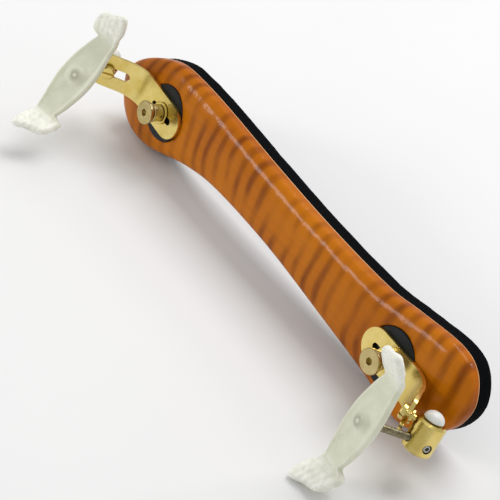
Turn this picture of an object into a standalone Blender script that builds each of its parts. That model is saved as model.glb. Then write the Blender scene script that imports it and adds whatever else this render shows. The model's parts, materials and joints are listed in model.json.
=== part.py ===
"""Violin shoulder rest: a carved wooden bar with a foam back, two brass fork brackets and two clip feet.

The pieces are modelled in a body frame: x runs along the bar, y across it, and z out of its front
face, with z = 0 at the faces of the two dark discs. An empty then stands the whole rest on its long
lower edge, leaning forward onto one foot, in the library frame: metres, +Z up.
"""

import math

import bmesh
import bpy
from mathutils import Matrix, Vector

MM = 0.001
GAP = 0.30  # clear space between neighbouring pieces
CUT_OVER = 1.0  # cutters run past the face they open

# Sides of the turned pieces.
ROUND_SIDES = 24
SMALL_SIDES = 16
BARREL_SIDES = 36
DISC_SIDES = 40
POCKET_SIDES = 44

# Stance: the front face looks up by the lean, with a slight tip from end to end, so that both bulges of
# the long edge and a foot bear. The frame origin is given in the stood-up axes, in millimetres.
LEAN_DEG = 14.376
ROLL_DEG = -0.762
ORIGIN_X = -0.995
ORIGIN_Y = -17.444
FLOOR_Z = -23.400

# Wooden bar: outline through these points (x, y), run once round against the clock.
BAR_OUTLINE = [
    (-116.0, -2.5),
    (-110.5, -13.6),
    (-102.0, -20.0),
    (-91.0, -21.6),
    (-79.0, -19.2),
    (-60.0, -13.0),
    (-38.0, -9.3),
    (0.0, -9.3),
    (38.0, -12.6),
    (71.0, -16.0),
    (89.5, -19.2),
    (100.5, -16.5),
    (109.5, -9.0),
    (114.5, -0.5),
    (115.0, 9.0),
    (109.0, 18.3),
    (98.0, 21.5),
    (76.0, 18.8),
    (58.0, 16.2),
    (22.0, 15.9),
    (-15.0, 17.4),
    (-54.0, 19.9),
    (-76.0, 20.3),
    (-88.0, 19.2),
    (-98.5, 15.2),
    (-107.0, 10.0),
    (-113.0, 4.2),
]
OUTLINE_STEPS = 3  # points laid on the curve between two outline points
SPINE_HALF_X = 94.0  # the dome falls away from this centre line
SPINE_RISE_Y = 3.4
BAR_BACK_Z = -8.6
BAR_DOME_H = 5.6
BAR_DOME_POWER = 2.5
BAR_DOME_STEPS = 6
BAR_EDGE_R = 0.8

# Foam pad on the back of the bar.
FOAM_T = 7.0
FOAM_INSET = 1.0
FOAM_EDGE_R = 1.2

# Clamp stack at each disc, all on one axis.
COLUMN_X = 79.5
SHANK_R = 1.2
BORE_R = 1.5
DISC_R = 12.0
DISC_T = 1.2
INSERT_R = 4.0
INSERT_TOP_Z = -1.8
INSERT_BOTTOM_Z = -7.2
PLATE_T = 1.4
PLATE_MID_Z = 1.0
WASHER_R = 4.7
WASHER_T = 0.8
BUSH_R = 3.65
BUSH_H = 3.6
COLLAR_R = 4.1
COLLAR_T = 0.8
NECK_R = 3.2
NECK_H = 1.0
HEAD_R = 5.0
HEAD_H = 1.5
HEX_AF = 2.8
HEX_DEPTH = 1.8
SHANK_BOTTOM_Z = -6.6

# Bracket plate, measured from the column axis along the plate.
PLATE_HALF_W = 7.6
PLATE_ROUND_X = -5.3  # centre of the round inner end
SLOT_HALF_L = 5.9  # column slot, centre to centre of its round ends
BEND_START = 12.3
BEND_R = 14.0
BEND_DEG = 58.0
BEND_STEPS = 8
RISE_L = 10.8
FORK_HALF_W = 2.15
FORK_START = 11.0  # where the fork slot closes, along the plate after BEND_START
PRONG_CORNER_R = 3.6
PRONG_TIP_R = 0.8

# Pivot stack on the fork: screw, washer, barrel.
PIVOT_SHANK_R = 1.3
PIVOT_BORE_R = 1.6
PIVOT_HEAD_R = 3.1
PIVOT_HEAD_H = 2.0
PIVOT_WASHER_R = 3.0
PIVOT_WASHER_T = 0.9
BARREL_R = 5.75
BARREL_OFF = 8.6  # barrel axis behind the middle of the plate
BARREL_TOP = 2.5  # ends of the barrel, measured along it from the pivot
BARREL_BOTTOM = -10.0
BARREL_CHAMFER = 0.8
ROD_OFF = 6.0  # the rod crosses the barrel this far below the pivot
ROD_DRILL_DEG = 36.0  # between the pivot axis and the rod
CAP_R = 3.9
CAP_H = 3.0
CAP_STEM_R = 1.5
CAP_STEM_L = 1.9
SET_SCREW_R = 1.5
SET_SCREW_L = 3.4
SET_SCREW_SINK = 0.4
SET_SCREW_HEX_R = 0.8
SET_SCREW_HEX_DEPTH = 1.4

# Foot rod, ball and claw.
ROD_R = 1.45
ROD_BORE_R = 1.75
ROD_TAIL = 5.6
ROD_TIP_R = 1.05
ROD_TIP_BACK = 3.0
ROD_TIP_AHEAD = 1.1
BALL_R = 2.5
BALL_FLAT = 1.7
BALL_BORE_R = 1.35
CLAW_T = 2.6
CLAW_HOLE_R = 2.85
CLAW_HOLE_CUT = 4.0  # the hole cutter reaches this far to both sides
LEAF_HALF_L = 19.6
HOOK_R = 2.6
HOOK_DEG = 42.0
PAD_L = 11.6
LEAF_HALF_W = 8.0
NECK_HALF_W = 4.9
PAD_HALF_W = 7.6
PAD_END_HALF_W = 4.6
PAD_EXTRA_T = 0.8
PAD_SKEW = 0.55  # the fold of each pad runs askew: advance along the foot per width
PAD_SHIFT = -1.8  # each pad stands to one side of the leaf, on opposite sides
CLAW_EDGE_STEPS = 4  # facets round each edge of a section

# Each side: which way it points; the plate's turn and slide on the column; the pivot's place up the
# fork; the barrel's turn on the pivot; the rod's reach to the ball; the claw's angles on the ball.
SIDES = {
    "left": {
        "sign": -1,
        "plate_turn": 5.8,
        "plate_slide": 0.0,
        "pivot_rise": 7.0,
        "barrel_turn": 7.3,
        "rod_reach": 18.6,
        "claw_dip": -29.3,
        "claw_roll": 20.3,
        "claw_turn": 2.9,
    },
    "right": {
        "sign": 1,
        "plate_turn": -1.9,
        "plate_slide": -1.0,
        "pivot_rise": 6.3,
        "barrel_turn": 14.2,
        "rod_reach": 24.6,
        "claw_dip": -7.5,
        "claw_roll": -12.0,
        "claw_turn": -4.0,
    },
}

COLOURS = {
    "varnished_wood": ((0.55, 0.18, 0.02, 1), 0.25, 0.0),
    "black_foam": ((0.01, 0.01, 0.012, 1), 0.9, 0.0),
    "dark_disc": ((0.02, 0.02, 0.025, 1), 0.4, 0.0),
    "satin_brass": ((0.62, 0.5, 0.2, 1), 0.3, 1.0),
    "steel": ((0.5, 0.5, 0.48, 1), 0.3, 1.0),
    "frosted_plastic": ((0.7, 0.7, 0.55, 1), 0.5, 0.0),
    "white_plastic": ((0.85, 0.85, 0.82, 1), 0.4, 0.0),
}


def clear_scene():
    for obj in list(bpy.data.objects):
        bpy.data.objects.remove(obj, do_unlink=True)


def material(slot):
    """The Principled material of a slot, made once."""
    found = bpy.data.materials.get(slot)
    if found:
        return found
    colour, roughness, metallic = COLOURS[slot]
    made = bpy.data.materials.new(slot)
    made.use_nodes = True
    shader = made.node_tree.nodes["Principled BSDF"]
    shader.inputs["Base Color"].default_value = colour
    shader.inputs["Roughness"].default_value = roughness
    shader.inputs["Metallic"].default_value = metallic
    made.diffuse_color = colour
    return made


def add_object(name, mesh, slot, parent, matrix):
    """A named piece: mesh in millimetres, placed in its parent's frame by a matrix in millimetres."""
    obj = bpy.data.objects.new(name, mesh)
    bpy.context.scene.collection.objects.link(obj)
    mesh.materials.append(material(slot))
    obj.parent = parent
    placed = matrix.copy()
    placed.translation *= MM
    obj.matrix_local = placed
    return obj


def mesh_of(name, bm, smooth_deg=35.0):
    """Turns a bmesh in millimetres into a mesh in metres, with its faces pointing out."""
    bmesh.ops.remove_doubles(bm, verts=bm.verts, dist=0.0005)
    bmesh.ops.recalc_face_normals(bm, faces=bm.faces)
    bmesh.ops.scale(bm, vec=(MM, MM, MM), verts=bm.verts)
    mesh = bpy.data.meshes.new(name)
    bm.to_mesh(mesh)
    bm.free()
    mesh.shade_smooth()
    mesh.set_sharp_from_angle(angle=math.radians(smooth_deg))
    return mesh


def loft(name, rings, ring_closed=False):
    """A solid through rings of equal count, capped at both ends, or closed back on itself."""
    bm = bmesh.new()
    rows = [[bm.verts.new(point) for point in ring] for ring in rings]
    count = len(rows[0])
    pairs = list(zip(rows, rows[1:]))
    if ring_closed:
        pairs.append((rows[-1], rows[0]))
    for lower, upper in pairs:
        for i in range(count):
            j = (i + 1) % count
            bm.faces.new((lower[i], lower[j], upper[j], upper[i]))
    if not ring_closed:
        bm.faces.new(reversed(rows[0]))
        bm.faces.new(rows[-1])
    return mesh_of(name, bm)


def circle(radius, z, count):
    turns = [2 * math.pi * i / count for i in range(count)]
    return [Vector((radius * math.cos(t), radius * math.sin(t), z)) for t in turns]


def turned(name, profile, bored=False, count=ROUND_SIDES):
    """A turned solid about z from (radius, z) points: bottom to top, or once round a bored section."""
    rings = [circle(radius, z, count) for radius, z in profile]
    return loft(name, rings, ring_closed=bored)


def tube_profile(outer, inner, bottom, top, chamfer=0.2):
    """The section of a bored cylinder with its upper outer edge broken."""
    return [
        (inner, bottom),
        (outer, bottom),
        (outer, top - chamfer),
        (outer - chamfer, top),
        (inner, top),
    ]


def rod_profile(radius, bottom, top, chamfer=0.2):
    """The outline of a plain cylinder with its edges broken."""
    return [
        (radius - chamfer, bottom),
        (radius, bottom + chamfer),
        (radius, top - chamfer),
        (radius - chamfer, top),
    ]


def cutter(name, mesh, parent, matrix):
    obj = bpy.data.objects.new(name, mesh)
    bpy.context.scene.collection.objects.link(obj)
    obj.parent = parent
    placed = matrix.copy()
    placed.translation *= MM
    obj.matrix_local = placed
    obj.hide_render = True
    obj.display_type = "WIRE"
    return obj


def cut(obj, tool):
    modifier = obj.modifiers.new(tool.name, "BOOLEAN")
    modifier.operation = "DIFFERENCE"
    modifier.solver = "EXACT"
    modifier.object = tool


def frame(origin, x_axis, y_axis, z_axis):
    """A placing matrix from an origin and three axes, in millimetres."""
    rows = [[x_axis[i], y_axis[i], z_axis[i], origin[i]] for i in range(3)]
    return Matrix(rows + [[0, 0, 0, 1]])


def axis_frame(origin, axis):
    """A placing matrix whose z runs along an axis."""
    turn = Vector((0, 0, 1)).rotation_difference(Vector(axis)).to_matrix().to_4x4()
    return Matrix.Translation(origin) @ turn


def smooth_loop(points, steps):
    """A closed curve through the points, after Catmull and Rom."""
    count = len(points)
    curve = []
    for i in range(count):
        before, start, end, after = (Vector(points[(i + k - 1) % count]) for k in range(4))
        for step in range(steps):
            t = step / steps
            curve.append(
                0.5
                * (
                    2 * start
                    + (end - before) * t
                    + (2 * before - 5 * start + 4 * end - after) * t**2
                    + (3 * start - before - 3 * end + after) * t**3
                )
            )
    return curve


def spine_point(point):
    """The point of the bar's centre line that an outline point closes in on."""
    x = max(-SPINE_HALF_X, min(SPINE_HALF_X, point.x))
    return Vector((x, SPINE_RISE_Y * (1 - (x / SPINE_HALF_X) ** 2)))


def outline_ring(share, z):
    """The bar's outline, drawn in toward its centre line to a share of its width."""
    ring = []
    for point in smooth_loop(BAR_OUTLINE, OUTLINE_STEPS):
        centre = spine_point(point)
        drawn = centre + share * (point - centre)
        ring.append(Vector((drawn.x, drawn.y, z)))
    return ring


def wood_body(parent):
    side_top = -BAR_DOME_H
    rings = [
        outline_ring(0.965, BAR_BACK_Z),
        outline_ring(0.99, BAR_BACK_Z + 0.3 * BAR_EDGE_R),
        outline_ring(1.0, BAR_BACK_Z + BAR_EDGE_R),
        outline_ring(1.0, side_top),
    ]
    for step in range(1, BAR_DOME_STEPS + 1):
        share = math.cos(0.5 * math.pi * 0.93 * step / BAR_DOME_STEPS)
        height = (1 - share**BAR_DOME_POWER) ** (1 / BAR_DOME_POWER)
        rings.append(outline_ring(share, side_top + BAR_DOME_H * height))
    body = add_object("wood_body", loft("wood_body", rings), "varnished_wood", parent, Matrix())
    seat_z = -DISC_T - GAP
    pocket = [
        (INSERT_R + GAP, INSERT_BOTTOM_Z - GAP),
        (INSERT_R + GAP, seat_z),
        (DISC_R + GAP, seat_z),
        (DISC_R + GAP, 2.0),
    ]
    for side, data in SIDES.items():
        place = Matrix.Translation((data["sign"] * COLUMN_X, 0, 0))
        tool = cutter(side + "_pocket", turned(side + "_pocket", pocket, count=POCKET_SIDES), parent, place)
        cut(body, tool)
    return body


def foam_pad(parent):
    top = BAR_BACK_Z - GAP
    bottom = top - FOAM_T
    rings = [
        outline_ring(FOAM_INSET - 0.06, bottom),
        outline_ring(FOAM_INSET - 0.015, bottom + 0.3 * FOAM_EDGE_R),
        outline_ring(FOAM_INSET, bottom + FOAM_EDGE_R),
        outline_ring(FOAM_INSET, top),
    ]
    return add_object("foam_pad", loft("foam_pad", rings), "black_foam", parent, Matrix())


def hex_cutter(name, parent, matrix, bottom, top):
    radius = 0.5 * HEX_AF / math.cos(math.pi / 6)
    mesh = turned(name, [(radius, bottom), (radius, top)], count=6)
    return cutter(name, mesh, parent, matrix)


def clamp_stack(side, data, parent):
    """Disc, insert, washer, bush, collar and socket screw on the column axis."""
    place = Matrix.Translation((data["sign"] * COLUMN_X, 0, 0))
    z = PLATE_MID_Z + 0.5 * PLATE_T + GAP
    washer_top = z + WASHER_T
    bush_bottom = washer_top + GAP
    collar_bottom = bush_bottom + BUSH_H + GAP
    collar_top = collar_bottom + COLLAR_T
    neck_bottom = collar_top + GAP
    head_bottom = neck_bottom + NECK_H
    head_top = head_bottom + HEAD_H
    pieces = [
        ("base_disc", "dark_disc", tube_profile(DISC_R, BORE_R + GAP, -DISC_T, 0.0)),
        ("threaded_insert", "satin_brass", tube_profile(INSERT_R, BORE_R, INSERT_BOTTOM_Z, INSERT_TOP_Z)),
        ("clamp_washer", "satin_brass", tube_profile(WASHER_R, BORE_R, z, washer_top)),
        ("clamp_bush", "satin_brass", tube_profile(BUSH_R, BORE_R, bush_bottom, bush_bottom + BUSH_H)),
        ("clamp_collar", "satin_brass", tube_profile(COLLAR_R, BORE_R, collar_bottom, collar_top)),
    ]
    for name, slot, profile in pieces:
        full = side + "_" + name
        sides = DISC_SIDES if name == "base_disc" else ROUND_SIDES
        add_object(full, turned(full, profile, bored=True, count=sides), slot, parent, place)
    screw = [
        (SHANK_R - 0.2, SHANK_BOTTOM_Z),
        (SHANK_R, SHANK_BOTTOM_Z + 0.3),
        (SHANK_R, neck_bottom),
        (NECK_R, neck_bottom),
        (NECK_R, head_bottom),
        (HEAD_R - 0.2, head_bottom),
        (HEAD_R, head_bottom + 0.25),
        (HEAD_R, head_top - 0.25),
        (HEAD_R - 0.3, head_top),
    ]
    name = side + "_clamp_screw"
    obj = add_object(name, turned(name, screw), "satin_brass", parent, place)
    cut(obj, hex_cutter(side + "_hex", parent, place, head_top - HEX_DEPTH, head_top + 1.0))


def plate_axes(data):
    """Unit axes of a bracket: outward along the plate, across it, up the fork, and into the fork."""
    turn = math.radians(data["plate_turn"])
    sign = data["sign"]
    along = Vector((sign * math.cos(turn), math.sin(turn), 0))
    across = Vector((-sign * along.y, sign * along.x, 0))
    bend = math.radians(BEND_DEG)
    up = Vector((0, 0, 1))
    rise = math.cos(bend) * along + math.sin(bend) * up
    inward = -math.sin(bend) * along + math.cos(bend) * up
    return along, across, rise, inward


def bent(s, offset):
    """Place along the plate and height of a point at run s and at an offset above the middle."""
    bend = math.radians(BEND_DEG)
    run = s - BEND_START
    if run <= 0:
        return s, PLATE_MID_Z + offset
    angle = min(run / BEND_R, bend)
    along = BEND_START + (BEND_R - offset) * math.sin(angle)
    height = PLATE_MID_Z + BEND_R - (BEND_R - offset) * math.cos(angle)
    extra = max(0.0, run - BEND_R * bend)
    return along + extra * math.cos(bend), height + extra * math.sin(bend)


def arc(centre_s, centre_v, radius, start_deg, end_deg, steps):
    points = []
    for i in range(steps + 1):
        t = math.radians(start_deg + (end_deg - start_deg) * i / steps)
        points.append((centre_s + radius * math.cos(t), centre_v + radius * math.sin(t)))
    return points


def plate_outline():
    """The flat blank of the bracket: round inner end, two prongs with rounded corners, open slot."""
    bend_l = BEND_R * math.radians(BEND_DEG)
    end = BEND_START + bend_l + RISE_L
    close = BEND_START + FORK_START
    corner = PRONG_CORNER_R
    half = PLATE_HALF_W
    slot = FORK_HALF_W
    points = arc(PLATE_ROUND_X, 0, half, 90, 270, 20)
    points += arc(end - corner, -half + corner, corner, -90, 0, 5)
    points += arc(end - PRONG_TIP_R, -slot - PRONG_TIP_R, PRONG_TIP_R, 0, 90, 3)
    points += arc(close + slot, 0, slot, 270, 90, 10)
    points += arc(end - PRONG_TIP_R, slot + PRONG_TIP_R, PRONG_TIP_R, -90, 0, 3)
    points += arc(end - corner, half - corner, corner, 0, 90, 5)
    return points


def column_slot():
    points = arc(SLOT_HALF_L, 0, BORE_R, -90, 90, 8)
    points += arc(-SLOT_HALF_L, 0, BORE_R, 90, 270, 8)
    return points


def bracket_plate(side, data, parent):
    """The blank is filled flat, scored along the bend, thickened and folded up."""
    bm = bmesh.new()
    for loop in (plate_outline(), column_slot()):
        verts = [bm.verts.new((s, v, 0)) for s, v in loop]
        for i in range(len(verts)):
            bm.edges.new((verts[i], verts[(i + 1) % len(verts)]))
    bmesh.ops.triangle_fill(bm, use_beauty=True, use_dissolve=False, edges=bm.edges[:])
    bend_l = BEND_R * math.radians(BEND_DEG)
    for i in range(BEND_STEPS + 1):
        cut_at = (BEND_START + bend_l * i / BEND_STEPS, 0, 0)
        everything = bm.verts[:] + bm.edges[:] + bm.faces[:]
        bmesh.ops.bisect_plane(bm, geom=everything, dist=1e-5, plane_co=cut_at, plane_no=(1, 0, 0))
    raised = bmesh.ops.extrude_face_region(bm, geom=bm.faces[:])
    for element in raised["geom"]:
        if isinstance(element, bmesh.types.BMVert):
            element.co.z = 1.0
    for vert in bm.verts:
        offset = (vert.co.z - 0.5) * PLATE_T
        along, height = bent(vert.co.x, offset)
        vert.co = Vector((along, vert.co.y, height))
    name = side + "_bracket_plate"
    along, across, _, _ = plate_axes(data)
    column = Vector((data["sign"] * COLUMN_X, 0, 0))
    place = frame(column + along * data["plate_slide"], along, across, (0, 0, 1))
    return add_object(name, mesh_of(name, bm, 30.0), "satin_brass", parent, place)


def pivot_point(data):
    """Where the pivot axis crosses the middle of the fork."""
    along, _, rise, _ = plate_axes(data)
    bend_l = BEND_R * math.radians(BEND_DEG)
    s, height = bent(BEND_START + bend_l + data["pivot_rise"], 0.0)
    return Vector((data["sign"] * COLUMN_X, 0, height)) + along * (s + data["plate_slide"])


def foot_axes(data):
    """The barrel's axis and the rod's axis, after the barrel has turned on its pivot."""
    _, across, rise, inward = plate_axes(data)
    turn = math.radians(data["barrel_turn"])
    drill = math.radians(ROD_DRILL_DEG)
    risen = math.cos(turn) * rise + math.sin(turn) * across
    barrel = math.cos(turn) * across - math.sin(turn) * rise
    rod = math.cos(drill) * inward + math.sin(drill) * risen
    return barrel, rod


def rod_base(data):
    """Where the rod's axis crosses the barrel's axis."""
    _, _, _, inward = plate_axes(data)
    barrel, _ = foot_axes(data)
    return pivot_point(data) - inward * BARREL_OFF - barrel * ROD_OFF


def ball_centre(data):
    _, rod = foot_axes(data)
    return rod_base(data) + rod * data["rod_reach"]


def pivot_stack(side, data, parent):
    """Slotted pivot screw and its washer, on the axis square to the fork."""
    _, _, _, inward = plate_axes(data)
    place = axis_frame(pivot_point(data), inward)
    head_bottom = 0.5 * PLATE_T + GAP
    head_top = head_bottom + PIVOT_HEAD_H
    tail = -BARREL_OFF + 2.0
    screw = [
        (PIVOT_SHANK_R - 0.3, tail),
        (PIVOT_SHANK_R, tail + 0.3),
        (PIVOT_SHANK_R, head_bottom),
        (PIVOT_HEAD_R, head_bottom),
        (PIVOT_HEAD_R, head_top - 0.6),
        (PIVOT_HEAD_R - 0.6, head_top),
    ]
    name = side + "_pivot_screw"
    obj = add_object(name, turned(name, screw), "satin_brass", parent, place)
    bm = bmesh.new()
    bmesh.ops.create_cube(bm, size=1.0)
    bmesh.ops.scale(bm, vec=(3 * PIVOT_HEAD_R, 0.9, 1.6), verts=bm.verts)
    bmesh.ops.translate(bm, vec=(0, 0, head_top), verts=bm.verts)
    cut(obj, cutter(side + "_screw_slot", mesh_of(side + "_screw_slot", bm), parent, place))
    name = side + "_pivot_washer"
    top = -0.5 * PLATE_T - GAP
    profile = tube_profile(PIVOT_WASHER_R, PIVOT_BORE_R, top - PIVOT_WASHER_T, top)
    add_object(name, turned(name, profile, bored=True), "satin_brass", parent, place)


def barrel_stack(side, data, parent):
    """The barrel with its three holes, its nylon plug and its grub screw."""
    _, _, _, inward = plate_axes(data)
    barrel_axis, rod_axis = foot_axes(data)
    base = rod_base(data)
    crossing = pivot_point(data) - inward * BARREL_OFF
    place = axis_frame(crossing, barrel_axis)
    name = side + "_barrel"
    profile = rod_profile(BARREL_R, BARREL_BOTTOM, BARREL_TOP, chamfer=BARREL_CHAMFER)
    obj = add_object(name, turned(name, profile, count=BARREL_SIDES), "satin_brass", parent, place)
    sign = data["sign"]
    grub_axis = sign * barrel_axis.cross(rod_axis).normalized()
    holes = [
        ("_rod_hole", ROD_BORE_R, base, rod_axis, -2 * BARREL_R, 2 * BARREL_R),
        ("_pivot_hole", PIVOT_BORE_R, crossing, inward, 1.0, 2 * BARREL_R),
        ("_plug_hole", CAP_STEM_R + GAP, crossing, barrel_axis, BARREL_TOP - CAP_STEM_L - GAP, 9.0),
        ("_grub_hole", SET_SCREW_R + GAP, base, grub_axis, 1.0, 2 * BARREL_R),
    ]
    for suffix, radius, origin, axis, start, end in holes:
        mesh = turned(side + suffix, [(radius, start), (radius, end)], count=SMALL_SIDES)
        cut(obj, cutter(side + suffix, mesh, parent, axis_frame(origin, axis)))
    plug = [
        (CAP_STEM_R - 0.2, BARREL_TOP - CAP_STEM_L),
        (CAP_STEM_R, BARREL_TOP - CAP_STEM_L + 0.3),
        (CAP_STEM_R, BARREL_TOP + GAP),
        (CAP_R - 0.3, BARREL_TOP + GAP),
        (CAP_R, BARREL_TOP + GAP + 0.4),
    ]
    for i in range(1, 5):
        t = 0.5 * math.pi * 0.9 * i / 4
        plug.append((CAP_R * math.cos(t), BARREL_TOP + GAP + 0.4 + CAP_H * math.sin(t)))
    name = side + "_barrel_plug"
    add_object(name, turned(name, plug), "white_plastic", parent, place)
    name = side + "_grub_screw"
    top = BARREL_R - SET_SCREW_SINK
    profile = rod_profile(SET_SCREW_R, top - SET_SCREW_L, top)
    grub_place = axis_frame(base, grub_axis)
    obj = add_object(name, turned(name, profile, count=SMALL_SIDES), "steel", parent, grub_place)
    socket = [(SET_SCREW_HEX_R, top - SET_SCREW_HEX_DEPTH), (SET_SCREW_HEX_R, top + CUT_OVER)]
    mesh = turned(side + "_grub_hex", socket, count=6)
    cut(obj, cutter(side + "_grub_hex", mesh, parent, grub_place))


def foot_rod(side, data, parent):
    _, rod_axis = foot_axes(data)
    place = axis_frame(rod_base(data), rod_axis)
    reach = data["rod_reach"]
    shoulder = reach - ROD_TIP_BACK
    profile = [
        (ROD_R - 0.3, -ROD_TAIL),
        (ROD_R, -ROD_TAIL + 0.3),
        (ROD_R, shoulder - 0.3),
        (ROD_TIP_R, shoulder),
        (ROD_TIP_R, reach + ROD_TIP_AHEAD),
    ]
    name = side + "_foot_rod"
    add_object(name, turned(name, profile), "steel", parent, place)


def foot_ball(side, data, parent):
    _, rod_axis = foot_axes(data)
    limit = math.asin(BALL_FLAT / BALL_R)
    profile = [(BALL_BORE_R, -BALL_FLAT)]
    for i in range(7):
        t = -limit + 2 * limit * i / 6
        profile.append((BALL_R * math.cos(t), BALL_R * math.sin(t)))
    profile.append((BALL_BORE_R, BALL_FLAT))
    name = side + "_foot_ball"
    place = axis_frame(ball_centre(data), rod_axis)
    add_object(name, turned(name, profile, bored=True, count=20), "steel", parent, place)


def smooth_step(t):
    t = max(0.0, min(1.0, t))
    return t * t * (3 - 2 * t)


def claw_half_width(run):
    """Half the claw's width at a run from its middle: leaf, neck, then pad with a rounded end."""
    hook_l = HOOK_R * math.radians(HOOK_DEG)
    neck = LEAF_HALF_L + 0.3 * hook_l
    pad_start = LEAF_HALF_L + hook_l + 0.25 * PAD_L
    end = LEAF_HALF_L + hook_l + PAD_L
    if run < neck:
        t = run / neck
        return NECK_HALF_W + (LEAF_HALF_W - NECK_HALF_W) * math.cos(0.5 * math.pi * t) ** 1.2
    if run < pad_start:
        return NECK_HALF_W + (PAD_HALF_W - NECK_HALF_W) * smooth_step((run - neck) / (pad_start - neck))
    t = (run - pad_start) / (end - pad_start)
    return PAD_END_HALF_W + (PAD_HALF_W - PAD_END_HALF_W) * math.sqrt(max(0.0, 1 - t**3))


def claw_path(run):
    """Centre (y, z) of the claw's section at a run from its middle, and its slope angle."""
    hook = math.radians(HOOK_DEG)
    past = run - LEAF_HALF_L
    if past <= 0:
        return run, 0.0, 0.0
    angle = min(past / HOOK_R, hook)
    extra = max(0.0, past - HOOK_R * hook)
    y = LEAF_HALF_L + HOOK_R * math.sin(angle) + extra * math.cos(hook)
    z = HOOK_R * (1 - math.cos(angle)) + extra * math.sin(hook)
    return y, z, angle


def slab_section(half_w, half_t):
    """Points (across, depth) round a flat bar with half-round edges."""
    flat = half_w - half_t
    points = arc(flat, 0.0, half_t, -90, 90, CLAW_EDGE_STEPS)
    points.append((0.0, half_t))
    points += arc(-flat, 0.0, half_t, 90, 270, CLAW_EDGE_STEPS)
    points.append((0.0, -half_t))
    return points


def claw_section(run):
    """One section of the claw; the pads' sections run askew, so their fold does too."""
    mirrored = -1 if run < 0 else 1
    run = abs(run)
    pad = smooth_step((run - LEAF_HALF_L) / (HOOK_R + 3.0))
    askew = PAD_SKEW * smooth_step((run - LEAF_HALF_L + 6.0) / 10.0)
    half_t = 0.5 * (CLAW_T + PAD_EXTRA_T * pad)
    ring = []
    for across, depth in slab_section(claw_half_width(run), half_t):
        y, z, angle = claw_path(run + askew * across)
        ring.append(
            Vector(
                (
                    mirrored * (across + PAD_SHIFT * pad),
                    mirrored * (y - depth * math.sin(angle)),
                    z + depth * math.cos(angle),
                )
            )
        )
    if mirrored < 0:
        count = len(ring)
        # start and turn as the mirrored half does
        ring = [ring[(count - 2 - i) % count] for i in range(count)]
    return ring


def claw_runs():
    """Stations along the claw, from one pad's end to the other's."""
    hook_l = HOOK_R * math.radians(HOOK_DEG)
    end = LEAF_HALF_L + hook_l + PAD_L
    runs = [LEAF_HALF_L * i / 7 for i in range(1, 8)]
    runs += [LEAF_HALF_L + hook_l * i / 4 for i in range(1, 5)]
    steps = 7
    runs += [end - PAD_L * (1 - i / steps) for i in range(1, steps + 1)]
    return [-run for run in reversed(runs)] + [0.0] + runs


def claw_place(data):
    turn = Matrix.Rotation(math.radians(data["claw_turn"]), 4, "Z")
    roll = Matrix.Rotation(math.radians(data["claw_roll"]), 4, "Y")
    dip = Matrix.Rotation(math.radians(data["claw_dip"]), 4, "X")
    return Matrix.Translation(ball_centre(data)) @ dip @ roll @ turn


def foot_claw(side, data, parent):
    name = side + "_foot_claw"
    rings = [claw_section(run) for run in claw_runs()]
    place = claw_place(data)
    obj = add_object(name, loft(name, rings), "frosted_plastic", parent, place)
    mesh = turned(side + "_ball_hole", [(CLAW_HOLE_R, -CLAW_HOLE_CUT), (CLAW_HOLE_R, CLAW_HOLE_CUT)])
    cut(obj, cutter(side + "_ball_hole", mesh, parent, place))


def stand():
    """The empty that stands the body frame on the floor."""
    empty = bpy.data.objects.new("rest_frame", None)
    bpy.context.scene.collection.objects.link(empty)
    lean = math.radians(LEAN_DEG)
    across = Vector((0, math.sin(lean), math.cos(lean)))
    out = Vector((0, -math.cos(lean), math.sin(lean)))
    tip = Matrix.Rotation(math.radians(ROLL_DEG), 4, "Z")
    turn = frame((0, 0, 0), (1, 0, 0), across, out) @ tip
    shift = Matrix.Translation((-ORIGIN_X * MM, -ORIGIN_Y * MM, -FLOOR_Z * MM))
    empty.matrix_world = shift @ turn
    return empty


def build():
    clear_scene()
    root = stand()
    wood_body(root)
    foam_pad(root)
    for side, data in SIDES.items():
        clamp_stack(side, data, root)
        bracket_plate(side, data, root)
        pivot_stack(side, data, root)
        barrel_stack(side, data, root)
        foot_rod(side, data, root)
        foot_ball(side, data, root)
        foot_claw(side, data, root)


build()
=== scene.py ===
"""Looks of the violin shoulder rest: flamed varnished bar, foam back, brass brackets, frosted feet.

The soft and carved pieces are built here as finer meshes in place of their CAD solids; the turned and
folded brass keeps its CAD shape, shaded smooth by modifiers. Lengths are in millimetres in the body
frame (x along the bar, y across it, z out of its front face) unless a name says otherwise.
"""

import json
import math

import bmesh
import bpy
from mathutils import Matrix, Vector, noise


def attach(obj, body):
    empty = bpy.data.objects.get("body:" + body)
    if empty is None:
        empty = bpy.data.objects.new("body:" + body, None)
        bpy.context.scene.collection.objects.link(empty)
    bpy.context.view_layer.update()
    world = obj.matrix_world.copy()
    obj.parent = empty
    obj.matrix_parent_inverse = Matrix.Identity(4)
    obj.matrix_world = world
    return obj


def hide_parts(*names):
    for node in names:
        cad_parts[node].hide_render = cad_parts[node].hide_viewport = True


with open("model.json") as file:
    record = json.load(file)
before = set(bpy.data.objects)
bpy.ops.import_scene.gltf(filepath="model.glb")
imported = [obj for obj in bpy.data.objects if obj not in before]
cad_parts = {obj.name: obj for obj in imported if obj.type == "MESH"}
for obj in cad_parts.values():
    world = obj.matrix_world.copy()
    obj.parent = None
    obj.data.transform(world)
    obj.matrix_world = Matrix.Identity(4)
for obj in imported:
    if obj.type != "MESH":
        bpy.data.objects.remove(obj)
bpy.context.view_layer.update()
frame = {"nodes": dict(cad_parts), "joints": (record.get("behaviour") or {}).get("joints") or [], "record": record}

MM = 0.001
SIDES = {"left": -1, "right": 1}
COLUMN_X = 79.5
COLUMN_POINT_Z = 5.0  # height on the column axis of the clamp joints' own point
MESH_SHARP_DEG = 40.0  # edges of the meshes built here sharper than this stay sharp

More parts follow.
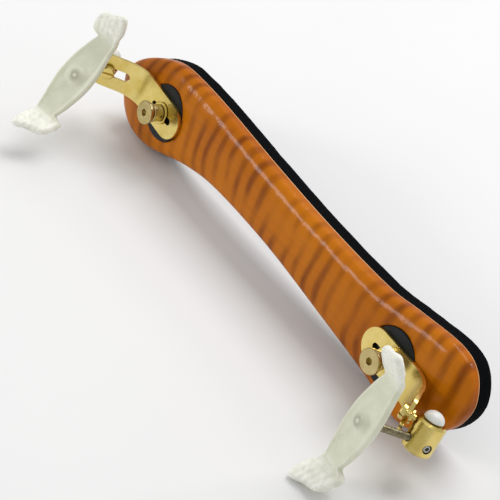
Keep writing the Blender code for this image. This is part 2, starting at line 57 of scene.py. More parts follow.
# Wooden bar: outline through these points (x, y), run once round against the clock.
BAR_OUTLINE = [
    (-116.0, -2.5),
    (-110.5, -13.6),
    (-102.0, -20.0),
    (-91.0, -21.6),
    (-79.0, -19.2),
    (-60.0, -13.0),
    (-38.0, -9.3),
    (0.0, -9.3),
    (38.0, -12.6),
    (71.0, -16.0),
    (89.5, -19.2),
    (100.5, -16.5),
    (109.5, -9.0),
    (114.5, -0.5),
    (115.0, 9.0),
    (109.0, 18.3),
    (98.0, 21.5),
    (76.0, 18.8),
    (58.0, 16.2),
    (22.0, 15.9),
    (-15.0, 17.4),
    (-54.0, 19.9),
    (-76.0, 20.3),
    (-88.0, 19.2),
    (-98.5, 15.2),
    (-107.0, 10.0),
    (-113.0, 4.2),
]
OUTLINE_STEPS = 9
SPINE_HALF_X = 94.0
SPINE_RISE_Y = 3.4
BAR_BACK_Z = -8.6
BAR_DOME_H = 5.6
BAR_DOME_POWER = 2.5
DOME_REACH = 0.97  # share of a quarter turn that the dome covers before its flat cap
DOME_STEPS = 26
BAR_EDGE_R = 0.8
BAR_EDGE_DRAW = 0.035  # share of the width that the rounded back edge draws in
EDGE_STEPS = 5
POCKET_R = 12.3
POCKET_FLOOR_Z = -1.5
POCKET_TOP_Z = 2.0
POCKET_SIDES = 96
INSERT_POCKET_R = 4.3
INSERT_POCKET_Z = -7.5
FLAME_TURNS = 2 * math.pi / 0.0074  # radians of flame per metre along the bar
FLAME_SLANT = 60.0  # radians of flame per metre across it
FLAME_WANDER = 7.0  # radians that a soft noise adds
SIDE_SHADE_Z = (-3.5, -7.5)  # painted shade: the sides of the bar darken between these heights
EDGE_HIGHLIGHT_Z = (-7.65, -8.0)  # painted highlight: a pale line along the back edge between these

# Foam pad under the bar.
FOAM_GAP = 0.12
FOAM_T = 7.1
FOAM_EDGE_R = 1.6
FOAM_EDGE_DRAW = 0.09  # share of the width that the eased outer edge draws in
FOAM_CAP_SHARE = 0.86  # share of the width of the flat middle of the outer face
FOAM_ROWS = 9
FOAM_INSET = 0.15
FOAM_WAVE = 0.22
FOAM_WAVE_XY = 0.11  # waves per millimetre along the bar's plane
FOAM_WAVE_Z = 0.4  # and through the foam
FOAM_GRAIN = 0.10
FOAM_GRAIN_RATE = 1.3  # grains per millimetre

# Foot: a waisted leaf over the ball, hooked into a pad at each end. A run is a length along its
# middle line from the ball.
LEAF_HALF_L = 19.6
HOOK_R = 2.6
HOOK_DEG = 42.0
HOOK_L = HOOK_R * math.radians(HOOK_DEG)
PAD_L = 11.6
CLAW_END = LEAF_HALF_L + HOOK_L + PAD_L
LEAF_HALF_W = 8.0
LEAF_POWER = 1.2
NECK_HALF_W = 4.9
NECK_AT = 0.3  # share of the hook where the foot is narrowest
PAD_HALF_W = 7.6
PAD_WIDEST_AT = 0.25  # share of the pad where it is widest
PAD_END_HALF_W = 4.6
PAD_SKEW = 0.55  # the fold of each pad runs askew: advance along the foot per width
SKEW_LEAD = 6.0  # the skew begins this far before the leaf ends
SKEW_L = 10.0
PAD_SHIFT = -1.8  # each pad stands to one side of the leaf, on opposite sides
PAD_GROW_L = HOOK_R + 3.0  # run past the leaf over which thickness and shift reach the pad's own
PAD_ROUND = 2.2  # run over which a pad's end rounds off
PAD_ROUND_LEFT = 0.08  # square of the share of the thickness that is left at the very end
PAD_ROUND_DRAW = 0.06  # share of the width that the rounded end draws in
PAD_NOTCH = 0.8  # how far the middle of a pad's end dips between its two lobes
NOTCH_SHARE = 0.7  # share of the half width that the notch spans
CLAW_T = 2.6
PAD_EXTRA_T = 0.8
FRONT_START = 0.2  # share of the half thickness where the relief begins
FRONT_FADE = 0.6
EDGE_POINTS = 12
FLAT_POINTS = 26
CLAW_STATIONS = 64
END_STATIONS = (1.6, 1.1, 0.7, 0.35, 0.1, 0.0)  # distances from the end, in place of the last stations
HALVES_MERGE = 0.004
RIM_H = 0.45  # raised edge round the leaf
RIM_START = 0.66  # share of the half width where the rim begins
RIM_FULL = 0.9
RIDGE_H = 0.12  # moulded ridges on the inner face of each pad
RIDGE_PITCH = 2.6
RIDGE_LEAD = 1.0  # run past the leaf where ridges begin to take the rim's place
RIDGE_GROW_L = 4.0
RIDGE_REACH = 0.85  # share of the half width that the ridges cover
RIDGE_FADE = 0.25
BOSS_R = 5.2
BOSS_H = 1.75
BOSS_STEEP = 1.6  # the boss is flat over the middle and falls away the faster for this
PAD_WHITE_Y = (17.5, 22.5)  # the plastic turns whiter between these distances from the ball
SHADE_RING_IN = (0.5, 1.1)  # painted shade: a dark ring over the ball grows between these radii
SHADE_RING_OUT = (1.3, 3.4)  # and fades between these

# Threaded rod of each foot.
THREAD_PITCH = 0.5
THREAD_DEPTH = 0.16
THREAD_STEPS = 8  # rings of points per turn
ROD_SIDES = 20
ROD_R = 1.45
ROD_END_DRAW = 0.25  # the lower end starts this much thinner
ROD_TIP_R = 1.05
ROD_TIP_L = 4.1
ROD_SHOULDER_L = 0.4

WELD_MM = 0.002
SHARP_DEG = 34.0  # edges of the CAD pieces sharper than this stay sharp

FLOOR_HALF = 3000.0
PAPER_DARK = (0.79, 0.79, 0.79, 1)
PAPER_LIGHT = (0.81, 0.81, 0.81, 1)
ROOM_STRENGTH = 0.57
# Each light's place and the point it faces in the shared frame, its size, all in metres, and its watts.
LIGHTS = {
    "key": ((-0.25, 0.9, 1.5), (0, 0, 0.02), (1.2, 1.0), 18.5),
    "strip": ((-0.62, -0.80, 0.42), (0, 0, 0.03), (0.34, 0.20), 2.6),
    "window": ((0.35, 1.27, 0.84), (0.1, 0, 0.03), (0.12, 0.20), 1.5),
}

# Camera in the body frame.
CAMERA_AT = (358.6, 281.4, 412.2)
CAMERA_RIGHT = (0.54196, 0.38122, -0.74897)
CAMERA_DOWN = (0.60728, -0.79370, 0.03544)
CAMERA_LENS = 113.7
SENSOR_W = 36.0


def body_matrix():
    """The body frame in the shared frame, from the two clamp axes: metres in, metres out."""
    joints = {joint["name"]: joint for joint in frame["joints"]}
    left = joints["left_clamp_screw_turn"]
    right = joints["right_clamp_screw_turn"]
    out = Vector(left["axis"]).normalized()
    start = Vector(left["pos_m"])
    end = Vector(right["pos_m"])
    along = (end - start).normalized()
    across = out.cross(along)
    centre = 0.5 * (start + end) - out * COLUMN_POINT_Z * MM
    rows = [[along[i], across[i], out[i], centre[i]] for i in range(3)]
    return Matrix(rows + [[0, 0, 0, 1]])


def joint_line(name):
    """Point and unit axis of a joint, in the shared frame."""
    joint = next(j for j in frame["joints"] if j["name"] == name)
    return Vector(joint["pos_m"]), Vector(joint["axis"]).normalized()


def claw_matrix(side):
    """The frame of a foot: x across it, y along it, z out of its seat."""
    centre, across = joint_line(side + "_foot_tilt")
    seat = next(m for m in frame["record"]["mounts"] if m["name"] == side + "_foot_seat")
    out = Vector(seat["axis"]).normalized()
    along = out.cross(across).normalized()
    rows = [[across[i], along[i], out[i], centre[i]] for i in range(3)]
    return Matrix(rows + [[0, 0, 0, 1]])


BODY = body_matrix()


# ---------------------------------------------------------------- mesh helpers


def add_mesh(name, bm, matrix, sharp_deg=MESH_SHARP_DEG):
    """A smooth object from a bmesh in millimetres."""
    bmesh.ops.recalc_face_normals(bm, faces=bm.faces)
    bmesh.ops.scale(bm, vec=(MM, MM, MM), verts=bm.verts)
    mesh = bpy.data.meshes.new(name)
    bm.to_mesh(mesh)
    bm.free()
    mesh.shade_smooth()
    mesh.set_sharp_from_angle(angle=math.radians(sharp_deg))
    obj = bpy.data.objects.new(name, mesh)
    bpy.context.scene.collection.objects.link(obj)
    obj.matrix_world = matrix
    return obj


def skin(bm, rings):
    """Adds the sides of a skin through rings of equal count; returns its rows of vertices."""
    rows = [[bm.verts.new(point) for point in ring] for ring in rings]
    count = len(rows[0])
    for lower, upper in zip(rows, rows[1:]):
        for i in range(count):
            j = (i + 1) % count
            bm.faces.new((lower[i], lower[j], upper[j], upper[i]))
    return rows


def loft(rings):
    """A skin through rings, with a flat cap on each end."""
    bm = bmesh.new()
    rows = skin(bm, rings)
    bm.faces.new(reversed(rows[0]))
    bm.faces.new(rows[-1])
    return bm


def circle(radius, z, count):
    """Points evenly round a circle about the z axis."""
    turns = [2 * math.pi * i / count for i in range(count)]
    return [Vector((radius * math.cos(t), radius * math.sin(t), z)) for t in turns]


def smooth_step(t):
    """An even rise from 0 to 1, held at both ends."""
    t = max(0.0, min(1.0, t))
    return t * t * (3 - 2 * t)


def smooth_loop(points, steps):
    """A closed curve through the points, after Catmull and Rom."""
    count = len(points)
    curve = []
    for i in range(count):
        before, start, end, after = (Vector(points[(i + k - 1) % count]) for k in range(4))
        for step in range(steps):
            t = step / steps
            linear = (end - before) * t
            square = (2 * before - 5 * start + 4 * end - after) * t**2
            cube = (3 * start - before - 3 * end + after) * t**3
            curve.append(0.5 * (2 * start + linear + square + cube))
    return curve


def spine_point(point):
    """The point of the bar's bowed centre line abreast of a point."""
    x = max(-SPINE_HALF_X, min(SPINE_HALF_X, point.x))
    return Vector((x, SPINE_RISE_Y * (1 - (x / SPINE_HALF_X) ** 2)))


def outline_ring(share, z):
    """The bar's outline, drawn in toward its centre line to a share of its width."""
    ring = []
    for point in smooth_loop(BAR_OUTLINE, OUTLINE_STEPS):
        centre = spine_point(point)
        drawn = centre + share * (point - centre)
        ring.append(Vector((drawn.x, drawn.y, z)))
    return ring


# ---------------------------------------------------------------- materials


class Nodes:
    """A material's node tree with short ways to add and join nodes."""

    def __init__(self, name):
        self.material = bpy.data.materials.new(name)
        self.material.use_nodes = True
        self.tree = self.material.node_tree
        self.shader = self.tree.nodes["Principled BSDF"]
        self.place = self.tree.nodes.new("ShaderNodeTexCoord").outputs["Object"]

    def link(self, source, target):
        self.tree.links.new(source, target)

    def set(self, **values):
        """Constants straight on the shader's sockets, with _ for a space."""
        for name, value in values.items():
            self.shader.inputs[name.replace("_", " ")].default_value = value

    def mapped(self, scale):
        """Object coordinates, in metres, times a scale for each axis."""
        node = self.tree.nodes.new("ShaderNodeMapping")
        node.inputs["Scale"].default_value = scale
        self.link(self.place, node.inputs["Vector"])
        return node.outputs["Vector"]

    def noise(self, vector, scale, detail=3.0, roughness=0.55, distortion=0.0):
        """Fractal noise, from 0 to 1."""
        node = self.tree.nodes.new("ShaderNodeTexNoise")
        node.inputs["Scale"].default_value = scale
        node.inputs["Detail"].default_value = detail
        node.inputs["Roughness"].default_value = roughness
        node.inputs["Distortion"].default_value = distortion
        self.link(vector, node.inputs["Vector"])
        return node.outputs["Fac"]

    def axis(self, name):
        """One object coordinate, in metres."""
        node = self.tree.nodes.new("ShaderNodeSeparateXYZ")
        self.link(self.place, node.inputs[0])
        return node.outputs[name]

    def squared(self, name):
        """The square of one object coordinate."""
        return self.math("MULTIPLY", self.axis(name), self.axis(name))

    def span(self, value, low, high, to_low=0.0, to_high=1.0):
        """A value's range laid onto another range, held at its ends."""
        node = self.tree.nodes.new("ShaderNodeMapRange")
        node.inputs["From Min"].default_value = low
        node.inputs["From Max"].default_value = high
        node.inputs["To Min"].default_value = to_low
        node.inputs["To Max"].default_value = to_high
        self.link(value, node.inputs["Value"])
        return node.outputs["Result"]

    def socket(self, target, value):
        """Sets a socket to a constant, or links it to another socket."""
        if isinstance(value, (int, float, tuple)):
            target.default_value = value
        else:
            self.link(value, target)

    def math(self, kind, first, second=0.0):
        """A sum, product or function of constants and sockets."""
        node = self.tree.nodes.new("ShaderNodeMath")
        node.operation = kind
        self.socket(node.inputs[0], first)
        self.socket(node.inputs[1], second)
        return node.outputs[0]

    def ramp(self, value, *stops):
        """A colour ramp through (position, colour) stops."""
        node = self.tree.nodes.new("ShaderNodeValToRGB")
        ramp = node.color_ramp
        for element, (position, colour) in zip(ramp.elements, stops):
            element.position = position
            element.color = colour
        self.link(value, node.inputs["Fac"])
        return node.outputs["Color"]

    def mix(self, share, first, second):
        """The first colour, with a share of the second."""
        node = self.tree.nodes.new("ShaderNodeMix")
        node.data_type = "RGBA"  # its colours go in at sockets 6 and 7 and come out at 2
        self.socket(node.inputs[0], share)
        self.socket(node.inputs[6], first)
        self.socket(node.inputs[7], second)
        return node.outputs[2]

    def bump(self, height, strength, distance, target="Normal"):
        """Bends the normal of the shader, or of its coat, by a height."""
        node = self.tree.nodes.new("ShaderNodeBump")
        node.inputs["Strength"].default_value = strength
        node.inputs["Distance"].default_value = distance
        self.link(height, node.inputs["Height"])
        self.link(node.outputs["Normal"], self.shader.inputs[target])

    def colour(self, source):
        self.link(source, self.shader.inputs["Base Color"])

    def rough(self, source):
        self.link(source, self.shader.inputs["Roughness"])


def srgb(text):
    """A linear colour from six hexadecimal digits."""
    values = [int(text[i : i + 2], 16) / 255 for i in (0, 2, 4)]
    linear = [v / 12.92 if v <= 0.04045 else ((v + 0.055) / 1.055) ** 2.4 for v in values]
    return (*linear, 1.0)


def flame_figure(nodes):
    """The maple's flame: slanted waves that wander, broken up into patches and fine streaks."""
    bend = nodes.noise(nodes.mapped((26.0, 34.0, 30.0)), 1.0, detail=1.0)
    wander = nodes.math("MULTIPLY", bend, FLAME_WANDER)
    slant = nodes.math("MULTIPLY", nodes.axis("Y"), FLAME_SLANT)
    phase = nodes.math("ADD", nodes.math("MULTIPLY", nodes.axis("X"), FLAME_TURNS), slant)
    wave = nodes.math("SINE", nodes.math("ADD", phase, wander))
    flame = nodes.span(wave, -0.5, 1.0)
    patches = nodes.noise(nodes.mapped((1.0, 0.8, 0.8)), 48.0, detail=2.0)
    flame = nodes.math("MULTIPLY", flame, nodes.span(patches, 0.40, 0.62, to_low=0.12))
    streak = nodes.noise(nodes.mapped((420.0, 60.0, 60.0)), 1.0, detail=2.0)
    return nodes.math("MULTIPLY", flame, nodes.span(streak, 0.3, 0.6, to_low=0.7))


def wood_material():
    """Flamed maple under amber varnish: bands run across the bar, fine grain along it; painted shade on its sides
    and a painted highlight along its back edge.
    """
    nodes = Nodes("varnished_maple")
    flame = flame_figure(nodes)
    broad = nodes.noise(nodes.mapped((1.0, 0.6, 0.6)), 24.0, detail=2.0)
    base = nodes.mix(nodes.span(broad, 0.35, 0.65), srgb("C8740A"), srgb("B46202"))
    base = nodes.mix(nodes.math("MULTIPLY", flame, 0.8), base, srgb("6E3003"))
    grain = nodes.noise(nodes.mapped((14.0, 420.0, 420.0)), 1.0)
    base = nodes.mix(nodes.span(grain, 0.45, 0.75, to_high=0.16), base, srgb("7A3A08"))
    height = nodes.axis("Z")
    # painted shade: the sides of the bar darker towards the back
    side = nodes.span(height, *(MM * z for z in SIDE_SHADE_Z), to_high=0.45)
    base = nodes.mix(side, base, srgb("A84A0C"))
    # painted highlight: a pale line along the rounded back edge
    edge = nodes.span(height, *(MM * z for z in EDGE_HIGHLIGHT_Z))
    base = nodes.mix(edge, base, srgb("E8B784"))
    nodes.colour(base)
    nodes.rough(nodes.span(grain, 0.2, 0.8, 0.30, 0.42))
    nodes.set(Coat_Weight=0.24, Coat_Roughness=0.14, Coat_IOR=1.5, Specular_IOR_Level=0.03)
    nodes.bump(grain, 0.05, 0.0002)
    ripple = nodes.noise(nodes.mapped((170.0, 120.0, 120.0)), 1.0, detail=2.0)
    nodes.bump(ripple, 0.4, 0.0009, "Coat Normal")
    return nodes.material


def foam_material():
    """Matt black foam with fine cells."""
    nodes = Nodes("closed_cell_foam")
    cells = nodes.noise(nodes.place, 2400.0, detail=4.0, roughness=0.7)
    patches = nodes.noise(nodes.place, 160.0)
    base = nodes.ramp(cells, (0.3, srgb("030406")), (0.75, srgb("0C0E12")))
    base = nodes.mix(nodes.span(patches, 0.4, 0.7, to_high=0.5), base, srgb("06070A"))
    nodes.colour(base)
    nodes.set(Roughness=0.95, Specular_IOR_Level=0.05)
    nodes.bump(cells, 0.7, 0.0004)
    return nodes.material


def disc_material():
    """Dark satin plastic with fine specks."""
    nodes = Nodes("dark_moulded_disc")
    speck = nodes.noise(nodes.place, 1500.0, detail=4.0)
    nodes.colour(nodes.ramp(speck, (0.3, srgb("0E1115")), (0.7, srgb("1A1E23"))))
    nodes.rough(nodes.span(speck, 0.3, 0.7, 0.38, 0.52))
    nodes.set(Specular_IOR_Level=0.25)
    nodes.bump(speck, 0.25, 0.0001)
    return nodes.material


def brass_material(name, dark, light):
    """Brass with faint brushing and slightly duller patches."""
    nodes = Nodes(name)
    brushed = nodes.noise(nodes.mapped((220.0, 2600.0, 2600.0)), 1.0)
    patches = nodes.noise(nodes.place, 140.0)
    base = nodes.ramp(patches, (0.3, srgb(dark)), (0.7, srgb(light)))
    nodes.colour(base)
    fine = nodes.span(brushed, 0.3, 0.7, 0.16, 0.26)
    dull = nodes.span(patches, 0.4, 0.8, to_high=0.08)
    nodes.rough(nodes.math("ADD", fine, dull))
    nodes.set(Metallic=1.0)
    nodes.bump(brushed, 0.06, 0.0001)
    return nodes.material


def steel_material(name, dark, light, roughness):
    """Plain steel, a little streaked."""
    nodes = Nodes(name)
    streak = nodes.noise(nodes.place, 900.0)
    nodes.colour(nodes.ramp(streak, (0.3, srgb(dark)), (0.7, srgb(light))))
    nodes.rough(nodes.span(streak, 0.3, 0.7, roughness, roughness + 0.1))
    nodes.set(Metallic=1.0)
    nodes.bump(streak, 0.05, 0.0001)
    return nodes.material


def claw_material():
    """Frosted translucent plastic: greenish grey leaf, whiter pads with small pits, and a painted shade ring over
    the ball.
    """
    nodes = Nodes("frosted_plastic")
    outward = nodes.math("ABSOLUTE", nodes.axis("Y"))
    pads = nodes.span(outward, *(MM * y for y in PAD_WHITE_Y))
    cloud = nodes.noise(nodes.place, 170.0)
    leaf = nodes.ramp(cloud, (0.3, srgb("D6D8C0")), (0.7, srgb("E4E5D2")))
    swirl = nodes.noise(nodes.place, 330.0, detail=4.0, roughness=0.6, distortion=1.2)
    white = nodes.ramp(swirl, (0.36, srgb("E2E3D6")), (0.6, srgb("F3F3E9")))
    # painted shade: a dark ring round the middle of the leaf, over the ball
    far = nodes.math("POWER", nodes.math("ADD", nodes.squared("X"), nodes.squared("Y")), 0.5)
    grown = nodes.span(far, *(MM * radius for radius in SHADE_RING_IN))
    faded = nodes.span(far, *(MM * radius for radius in SHADE_RING_OUT))
    ring = nodes.math("SUBTRACT", grown, faded)
    leaf = nodes.mix(nodes.math("MULTIPLY", ring, 0.5), leaf, srgb("77745F"))
    nodes.colour(nodes.mix(pads, leaf, white))
    pits = nodes.noise(nodes.place, 520.0)
    nodes.bump(nodes.math("MULTIPLY", pits, pads), 0.07, 0.0003)
    nodes.rough(nodes.span(cloud, 0.3, 0.7, 0.26, 0.38))
    nodes.set(Subsurface_Weight=0.35, Subsurface_Scale=0.0025, Subsurface_Radius=(1.0, 1.0, 0.9))
    nodes.set(IOR=1.42)
    return nodes.material


def nylon_material():
    """White nylon, slightly cloudy."""
    nodes = Nodes("white_nylon")
    cloud = nodes.noise(nodes.place, 400.0)
    nodes.colour(nodes.ramp(cloud, (0.3, srgb("D3D6D2")), (0.7, srgb("E6E8E2"))))
    nodes.rough(nodes.span(cloud, 0.3, 0.7, 0.3, 0.4))
    nodes.set(Subsurface_Weight=0.3, Subsurface_Scale=0.002)
    nodes.bump(cloud, 0.1, 0.0002)
    return nodes.material


def floor_material():
    """Light grey paper."""
    nodes = Nodes("paper_floor")
    soft = nodes.noise(nodes.place, 6.0, detail=2.0)
    nodes.colour(nodes.ramp(soft, (0.3, PAPER_DARK), (0.7, PAPER_LIGHT)))
    nodes.set(Roughness=0.75)
    return nodes.material


# ---------------------------------------------------------------- pieces


def drilled(obj, cutters):
    """Cuts closed tools out of an object and applies the result."""
    for tool in cutters:
        modifier = obj.modifiers.new("cut", "BOOLEAN")
        modifier.operation = "DIFFERENCE"
        modifier.solver = "EXACT"
        modifier.object = tool
    bpy.context.view_layer.update()
    graph = bpy.context.evaluated_depsgraph_get()
    mesh = bpy.data.meshes.new_from_object(obj.evaluated_get(graph))
    obj.modifiers.clear()
    obj.data = mesh
    for tool in cutters:
        bpy.data.objects.remove(tool, do_unlink=True)


def bar_rings():
    """The bar's rings from its rounded back edge, up the side and over the dome."""
    rings = []
    for step in range(EDGE_STEPS + 1):
        turn = 0.5 * math.pi * step / EDGE_STEPS
        share = 1.0 - BAR_EDGE_DRAW * (1 - math.sin(turn))
        rings.append(outline_ring(share, BAR_BACK_Z + BAR_EDGE_R * (1 - math.cos(turn))))
    side_top = -BAR_DOME_H
    rings.append(outline_ring(1.0, 0.5 * (side_top + BAR_BACK_Z)))
    rings.append(outline_ring(1.0, side_top))
    for step in range(1, DOME_STEPS + 1):
        share = math.cos(0.5 * math.pi * DOME_REACH * step / DOME_STEPS)
        height = (1 - share**BAR_DOME_POWER) ** (1 / BAR_DOME_POWER)
        rings.append(outline_ring(share, side_top + BAR_DOME_H * height))
    return rings


def pocket_tool(side):
    """A cutter for the pocket of a base disc and the deeper one of its threaded insert."""
    profile = [
        (INSERT_POCKET_R, INSERT_POCKET_Z),
        (INSERT_POCKET_R, POCKET_FLOOR_Z),
        (POCKET_R, POCKET_FLOOR_Z),
        (POCKET_R, POCKET_TOP_Z),
    ]
    rings = [circle(radius, z, POCKET_SIDES) for radius, z in profile]
    place = BODY @ Matrix.Translation((SIDES[side] * COLUMN_X * MM, 0, 0))
    return add_mesh(side + "_pocket_tool", loft(rings), place)


def wooden_bar():
    """The carved bar in place of its CAD solid, drilled for the discs and inserts."""
    obj = add_mesh("carved_bar", loft(bar_rings()), BODY)
    top = max(obj.data.polygons, key=lambda face: face.center.z)
    top.use_smooth = False  # the long flat cap along the crown
    drilled(obj, [pocket_tool(side) for side in SIDES])
    obj.data.materials.clear()
    obj.data.materials.append(wood_material())
    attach(obj, "bar")
    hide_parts("wood_body")


def foam_rings():
    """The pad's rings from its outer face, round the eased edge and up to the bar."""
    top = BAR_BACK_Z - FOAM_GAP
    bottom = top - FOAM_T
    rings = [outline_ring(FOAM_CAP_SHARE, bottom)]
    for step in range(FOAM_ROWS + 1):
        turn = 0.5 * math.pi * step / FOAM_ROWS
        share = 1.0 - FOAM_EDGE_DRAW * (1 - math.sin(turn))
        rings.append(outline_ring(share, bottom + FOAM_EDGE_R * (1 - math.cos(turn))))
    rings.append(outline_ring(1.0, 0.5 * (top + bottom)))
    rings.append(outline_ring(1.0, top))
    return rings


def foam_swell(point):
    """How far out the uneven surface of the foam stands at a point."""
    place = Vector((FOAM_WAVE_XY * point.x, FOAM_WAVE_XY * point.y, FOAM_WAVE_Z * point.z))
    wave = noise.noise(place)
    grain = noise.noise(FOAM_GRAIN_RATE * point)
    return FOAM_WAVE * wave + FOAM_GRAIN * grain - FOAM_INSET


def foam_back():
    """The foam pad, its surface slightly uneven and its outer edge eased."""
    rings = foam_rings()
    for ring in rings:
        for point in ring:
            swell = foam_swell(point)
            radial = Vector((point.x, point.y, 0)) - spine_point(point.to_2d()).to_3d()
            point += radial.normalized() * swell
    obj = add_mesh("foam_back", loft(rings), BODY, sharp_deg=60.0)
    obj.data.materials.append(foam_material())
    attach(obj, "bar")
    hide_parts("foam_pad")


def claw_half_width(run):
    """Half the foot's width: a leaf narrowing to a neck, then a pad that rounds off."""
    neck = LEAF_HALF_L + NECK_AT * HOOK_L
    widest = LEAF_HALF_L + HOOK_L + PAD_WIDEST_AT * PAD_L
    if run < neck:
        t = run / neck
        return NECK_HALF_W + (LEAF_HALF_W - NECK_HALF_W) * math.cos(0.5 * math.pi * t) ** LEAF_POWER
    if run < widest:
        return NECK_HALF_W + (PAD_HALF_W - NECK_HALF_W) * smooth_step((run - neck) / (widest - neck))
    t = (run - widest) / (CLAW_END - widest)
    return PAD_END_HALF_W + (PAD_HALF_W - PAD_END_HALF_W) * math.sqrt(max(0.0, 1 - t**3))


def claw_path(run):
    """Centre (y, z) of the foot's section at a run from its middle, and its slope angle."""
    hook = math.radians(HOOK_DEG)
    past = run - LEAF_HALF_L
    if past <= 0:
        return run, 0.0, 0.0
    angle = min(past / HOOK_R, hook)
    extra = max(0.0, past - HOOK_R * hook)
    y = LEAF_HALF_L + HOOK_R * math.sin(angle) + extra * math.cos(hook)
    z = HOOK_R * (1 - math.cos(angle)) + extra * math.sin(hook)
    return y, z, angle


def slab_section(half_w, half_t):
    """Points (across, depth) evenly round a flat bar with half-round edges."""
    flat = half_w - half_t
    points = []
    for side in (1, -1):
        for i in range(EDGE_POINTS):
            turn = math.radians(side * (180 * i / EDGE_POINTS - 90))
            points.append((side * (flat + half_t * math.cos(turn)), half_t * math.sin(turn)))
        for i in range(FLAT_POINTS):
            points.append((side * flat * (1 - 2 * i / FLAT_POINTS), side * half_t))
    return points


def claw_relief(run, across, half_w):
    """Height of the front face above the plain section: leaf rim, pad ridges, boss over the ball."""
    pad = smooth_step((run - LEAF_HALF_L - RIDGE_LEAD) / RIDGE_GROW_L)
    edge = abs(across) / half_w
    rim = RIM_H * smooth_step((edge - RIM_START) / (RIM_FULL - RIM_START)) * (1 - pad)
    inner = smooth_step((RIDGE_REACH - edge) / RIDGE_FADE)
    ridge = RIDGE_H * math.cos(2 * math.pi * across / RIDGE_PITCH) * pad * inner
    cup = math.hypot(run, across) / BOSS_R
    boss = BOSS_H * smooth_step(BOSS_STEEP * (1 - cup))
    return rim + ridge + boss


def end_notch(run, across, half_w):
    """How far the end of a pad is drawn back at a point across it."""
    toward_end = smooth_step((run - CLAW_END + PAD_L) / PAD_L)
    share = min(1.0, abs(across) / (NOTCH_SHARE * half_w))
    return PAD_NOTCH * toward_end * math.cos(0.5 * math.pi * share) ** 2


def claw_ring(run, mirrored):
    """The foot's section at a run, in the frame of the foot; mirrored is 1 or -1 for its halves."""
    pad = smooth_step((run - LEAF_HALF_L) / PAD_GROW_L)
    askew = PAD_SKEW * smooth_step((run - LEAF_HALF_L + SKEW_LEAD) / SKEW_L)
    left = min(1.0, (CLAW_END - run) / PAD_ROUND)
    round_off = math.sqrt(max(PAD_ROUND_LEFT, 1 - (1 - left) ** 2))
    half_t = 0.5 * (CLAW_T + PAD_EXTRA_T * pad) * round_off
    half_w = claw_half_width(run) * (1 - PAD_ROUND_DRAW + PAD_ROUND_DRAW * round_off)
    ring = []
    for across, depth in slab_section(half_w, half_t):
        along = max(0.0, run + askew * across - end_notch(run, across, half_w))
        y, z, angle = claw_path(along)
        front = smooth_step((depth / half_t - FRONT_START) / FRONT_FADE)
        lift = depth + front * claw_relief(run, across, half_w)
        x = across + PAD_SHIFT * pad
        y -= lift * math.sin(angle)
        z += lift * math.cos(angle)
        ring.append(Vector((mirrored * x, mirrored * y, z)))
    return ring


def claw(side, material):
    """The two halves of the foot are the same shape, half a turn apart about the ball."""
    runs = [CLAW_END * i / CLAW_STATIONS for i in range(CLAW_STATIONS - 3)]
    runs += [CLAW_END - back for back in END_STATIONS]
    bm = bmesh.new()
    for mirrored in (1, -1):
        rows = skin(bm, [claw_ring(run, mirrored) for run in runs])
        bm.faces.new(rows[-1])
    bmesh.ops.remove_doubles(bm, verts=bm.verts, dist=HALVES_MERGE)
    obj = add_mesh(side + "_frosted_foot", bm, claw_matrix(side), sharp_deg=70.0)
    obj.data.materials.append(material)
    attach(obj, side + "_foot")
    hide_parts(side + "_foot_claw")


def thread_ring(step, z):
    """One ring of the thread, whose groove winds round the rod from step to step."""
    ease = min(1.0, step / (2 * THREAD_STEPS))
    ring = []
    for i in range(ROD_SIDES):
        t = 2 * math.pi * i / ROD_SIDES
        phase = 2 * math.pi * step / THREAD_STEPS - t
        groove = THREAD_DEPTH * (0.5 + 0.5 * math.cos(phase))
        radius = ROD_R - groove - ROD_END_DRAW * (1 - ease)
        ring.append(Vector((radius * math.cos(t), radius * math.sin(t), z)))
    return ring


def threaded_rod(side, material):
    """The foot's rod with a cut thread and a plain tip, from one end of its CAD solid to the other."""
    centre, axis = joint_line(side + "_foot_swivel")
    reach = [(v.co - centre).dot(axis) / MM for v in frame["nodes"][side + "_foot_rod"].data.vertices]
    bottom = min(reach)
    top = max(reach)
    count = int((top - ROD_TIP_L - bottom) / THREAD_PITCH * THREAD_STEPS)
    rings = [thread_ring(k, bottom + THREAD_PITCH * k / THREAD_STEPS) for k in range(count + 1)]
    rings.append(circle(ROD_TIP_R, top - ROD_TIP_L + ROD_SHOULDER_L, ROD_SIDES))
    rings.append(circle(ROD_TIP_R, top, ROD_SIDES))
    turn = Vector((0, 0, 1)).rotation_difference(axis).to_matrix().to_4x4()
    place = Matrix.Translation(centre) @ turn
    obj = add_mesh(side + "_threaded_rod", loft(rings), place, sharp_deg=50.0)
    obj.data.materials.append(material)
    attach(obj, side + "_rod")
    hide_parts(side + "_foot_rod")


def smooth_shading_group():
    """Geometry nodes that shade faces smooth, except across edges sharper than SHARP_DEG."""
    group = bpy.data.node_groups.new("smooth_by_angle", "GeometryNodeTree")
    group.interface.new_socket("Geometry", in_out="INPUT", socket_type="NodeSocketGeometry")
    group.interface.new_socket("Geometry", in_out="OUTPUT", socket_type="NodeSocketGeometry")
    source = group.nodes.new("NodeGroupInput")
    target = group.nodes.new("NodeGroupOutput")
    faces = group.nodes.new("GeometryNodeSetShadeSmooth")
    faces.domain = "FACE"
    edges = group.nodes.new("GeometryNodeSetShadeSmooth")
    edges.domain = "EDGE"
    edges.inputs["Shade Smooth"].default_value = False
    angle = group.nodes.new("GeometryNodeInputMeshEdgeAngle")
    sharp = group.nodes.new("FunctionNodeCompare")
    sharp.operation = "GREATER_THAN"
    sharp.inputs["B"].default_value = math.radians(SHARP_DEG)
    group.links.new(angle.outputs["Unsigned Angle"], sharp.inputs["A"])
    group.links.new(sharp.outputs["Result"], edges.inputs["Selection"])
    group.links.new(source.outputs["Geometry"], faces.inputs["Geometry"])
    group.links.new(faces.outputs["Geometry"], edges.inputs["Geometry"])
    group.links.new(edges.outputs["Geometry"], target.inputs["Geometry"])
    return group


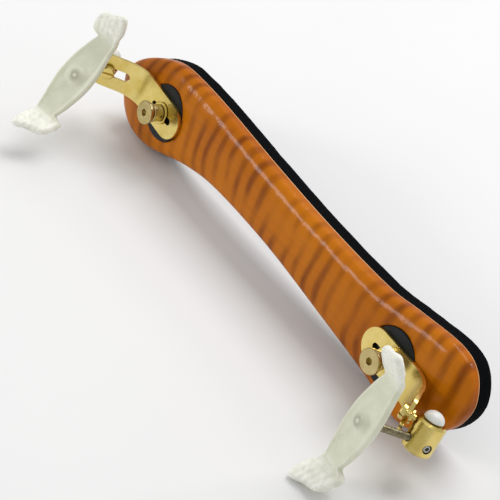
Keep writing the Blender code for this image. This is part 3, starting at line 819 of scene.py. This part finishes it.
def dress(node, material, shading):
    """Gives a CAD node its material, and shades its turned faces smooth with modifiers."""
    obj = frame["nodes"][node]
    obj.data.materials.clear()
    obj.data.materials.append(material)
    weld = obj.modifiers.new("weld", "WELD")
    weld.merge_threshold = WELD_MM * MM
    smooth = obj.modifiers.new("smooth_shading", "NODES")
    smooth.node_group = shading
    normals = obj.modifiers.new("even_normals", "WEIGHTED_NORMAL")
    normals.keep_sharp = True


def dress_hardware():
    """The materials of both sides' hardware, and the parts of each side that are modelled here."""
    brass = brass_material("polished_brass", "D6BC64", "E8D488")
    turned_brass = brass_material("dull_turned_brass", "B39F66", "CDBD8A")
    disc = disc_material()
    rod = steel_material("dark_rod_steel", "6E6650", "A39A7C", 0.2)
    bright = steel_material("bright_steel", "8C8C88", "B8B6AE", 0.25)
    nylon = nylon_material()
    plastic = claw_material()
    shading = smooth_shading_group()
    for side in SIDES:
        dress(side + "_base_disc", disc, shading)
        dress(side + "_threaded_insert", brass, shading)
        dress(side + "_bracket_plate", brass, shading)
        for name in ("clamp_screw", "clamp_collar", "clamp_bush"):
            dress(side + "_" + name, turned_brass, shading)
        for name in ("clamp_washer", "pivot_washer", "pivot_screw", "barrel"):
            dress(side + "_" + name, brass, shading)
        dress(side + "_barrel_plug", nylon, shading)
        dress(side + "_grub_screw", bright, shading)
        dress(side + "_foot_ball", bright, shading)
        claw(side, plastic)
        threaded_rod(side, rod)


# ---------------------------------------------------------------- floor, lights, camera


def floor():
    """A wide paper floor under the feet."""
    bm = bmesh.new()
    bmesh.ops.create_grid(bm, x_segments=2, y_segments=2, size=FLOOR_HALF)
    obj = add_mesh("floor", bm, Matrix.Translation((0, 0, 0)))
    obj.data.materials.append(floor_material())


def area_light(name, at, aim, size, power):
    """A rectangular light at a place, facing another, in metres; its first side runs with the bar."""
    data = bpy.data.lights.new(name, "AREA")
    data.shape = "RECTANGLE"
    data.size, data.size_y = size
    data.energy = power
    obj = bpy.data.objects.new(name, data)
    bpy.context.scene.collection.objects.link(obj)
    back = (Vector(at) - Vector(aim)).normalized()
    side = (Vector((1, 0, 0)) - back * back.x).normalized()
    up = back.cross(side)
    rows = [[side[i], up[i], back[i], at[i]] for i in range(3)]
    obj.matrix_world = Matrix(rows + [[0, 0, 0, 1]])


def lights():
    """The area lights and an even white room around them."""
    for name, (at, aim, size, power) in LIGHTS.items():
        area_light(name, at, aim, size, power)
    world = bpy.data.worlds.new("soft_room")
    world.use_nodes = True
    background = world.node_tree.nodes["Background"]
    background.inputs["Color"].default_value = (1, 1, 1, 1)
    background.inputs["Strength"].default_value = ROOM_STRENGTH
    bpy.context.scene.world = world
    bpy.context.scene.view_settings.view_transform = "Standard"


def camera():
    """A long lens above the bar and beyond its right end."""
    data = bpy.data.cameras.new("camera")
    data.lens = CAMERA_LENS
    data.sensor_width = SENSOR_W
    obj = bpy.data.objects.new("camera", data)
    bpy.context.scene.collection.objects.link(obj)
    turn = BODY.to_3x3()
    right = (turn @ Vector(CAMERA_RIGHT)).normalized()
    up = -(turn @ Vector(CAMERA_DOWN))
    up = (up - right * up.dot(right)).normalized()
    back = right.cross(up)
    at = BODY @ (Vector(CAMERA_AT) * MM)
    rows = [[right[i], up[i], back[i], at[i]] for i in range(3)]
    obj.matrix_world = Matrix(rows + [[0, 0, 0, 1]])
    bpy.context.scene.camera = obj


wooden_bar()
foam_back()
dress_hardware()
floor()
lights()
camera()
